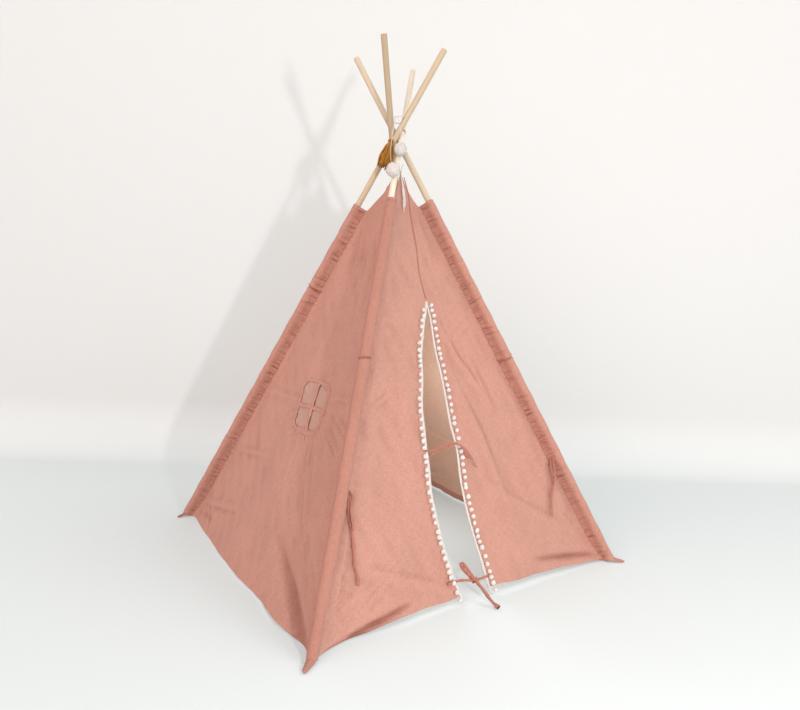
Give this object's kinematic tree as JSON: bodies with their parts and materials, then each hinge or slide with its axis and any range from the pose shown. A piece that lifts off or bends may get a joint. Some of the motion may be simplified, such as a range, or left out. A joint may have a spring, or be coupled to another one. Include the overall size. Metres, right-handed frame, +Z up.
{
  "type": "play teepee",
  "caption": "Square play tent of jointed timber poles lashed at the crown, in a fitted cotton cover with pole pockets, open door flaps, net window, fringe, ties and hangings.",
  "frame": {"origin": "middle of the square base, on the floor", "axes": "+Z up, the door faces -Y, the window faces -X"},
  "size_m": [1.1292, 1.1292, 1.6702],
  "materials": {
    "poles": "sanded, unvarnished pale pine",
    "ferrules": "drawn tube",
    "cover": "plain woven cotton canvas, dusty rose",
    "net": "fine knitted net",
    "ribbon": "woven cotton ribbon",
    "white_cotton": "twisted and woven white cotton",
    "white_wool": "clipped white wool pompom",
    "mustard_yarn": "mustard cotton yarn"
  },
  "bodies": {
    "crown": {"crown_cord": "white_cotton", "crown_tape": "white_cotton", "rear_panel": "cover"},
    "left_frame": {"pole_front_left_lower": "poles", "pole_front_left_upper": "poles", "pole_back_left_lower": "poles", "pole_back_left_upper": "poles", "ferrule_front_left": "ferrules", "ferrule_back_left": "ferrules", "pocket_front_left": "cover", "pocket_back_left": "cover", "window_panel": "cover", "window_binding": "ribbon", "window_net": "net", "window_ribbon_upright": "ribbon", "window_ribbon_level": "ribbon", "crown_ribbon": "ribbon", "door_panel_left": "cover", "tie_left_long": "cover", "tie_left_short": "cover"},
    "right_frame": {"pole_front_right_lower": "poles", "pole_front_right_upper": "poles", "pole_back_right_lower": "poles", "pole_back_right_upper": "poles", "ferrule_front_right": "ferrules", "ferrule_back_right": "ferrules", "pocket_front_right": "cover", "pocket_back_right": "cover", "right_panel": "cover", "door_panel_right": "cover", "tie_right_long": "cover", "tie_right_short": "cover"},
    "left_flap": {"flap_left": "cover", "trim_tape_left": "white_cotton", "trim_balls_left": "white_wool", "tie_middle": "cover", "bow_left_tail": "cover", "bow_loop": "cover", "bow_knot": "cover", "bow_front_tail": "cover"},
    "right_flap": {"flap_right": "cover", "trim_tape_right": "white_cotton", "trim_balls_right": "white_wool", "bow_right_tail": "cover"},
    "pompom_low": {"pompom_low": "white_wool", "pompom_low_string": "white_cotton"},
    "pompom_high": {"pompom_high": "white_wool", "pompom_high_string": "white_cotton"},
    "tassel": {"tassel_head": "mustard_yarn", "tassel_neck": "white_cotton", "tassel_skirt": "mustard_yarn", "tassel_string": "mustard_yarn"}
  },
  "joints": [
    {"name": "left_fold", "type": "hinge", "parent": "crown", "child": "left_frame", "pos_m": [0, 0, 1.39], "axis": [0, -1, 0], "range_deg": [0, 18], "deforming": ["pocket_front_left", "pocket_back_left", "window_panel", "door_panel_left", "tie_left_long", "tie_left_short", "rear_panel", "crown_tape", "crown_cord", "flap_left", "trim_tape_left", "trim_balls_left", "tie_middle", "bow_left_tail", "bow_loop", "bow_knot", "bow_front_tail"]},
    {"name": "right_fold", "type": "hinge", "parent": "crown", "child": "right_frame", "pos_m": [0, 0, 1.39], "axis": [0, 1, 0], "range_deg": [0, 18], "deforming": ["pocket_front_right", "pocket_back_right", "right_panel", "door_panel_right", "tie_right_long", "tie_right_short", "flap_right", "trim_tape_right", "trim_balls_right", "bow_right_tail"]},
    {"name": "left_flap_swing", "type": "hinge", "parent": "left_frame", "child": "left_flap", "pos_m": [-0.47728, -0.52545, 0.00336], "axis": [0.4735, 0.3304, 0.8165], "range_deg": [-110, 0]},
    {"name": "right_flap_swing", "type": "hinge", "parent": "right_frame", "child": "right_flap", "pos_m": [0.46159, -0.5254, 0.00336], "axis": [0.4421, -0.3364, -0.8315], "range_deg": [-110, 0]},
    {"name": "pompom_low_swing", "type": "hinge", "parent": "crown", "child": "pompom_low", "pos_m": [-0.02497, -0.03059, 1.4503], "axis": [-0.829, 0.5593, 0], "range_deg": [0, 35]},
    {"name": "pompom_high_swing", "type": "hinge", "parent": "crown", "child": "pompom_high", "pos_m": [-0.02055, -0.03307, 1.45096], "axis": [-0.829, 0.5593, 0], "range_deg": [0, 35]},
    {"name": "tassel_swing", "type": "hinge", "parent": "crown", "child": "tassel", "pos_m": [-0.02844, -0.02864, 1.44979], "axis": [0.5593, 0.829, 0], "range_deg": [0, 35]}
  ],
  "couplings": [
    {"joint": "right_fold", "follows": "left_fold", "ratio": 1}
  ]
}
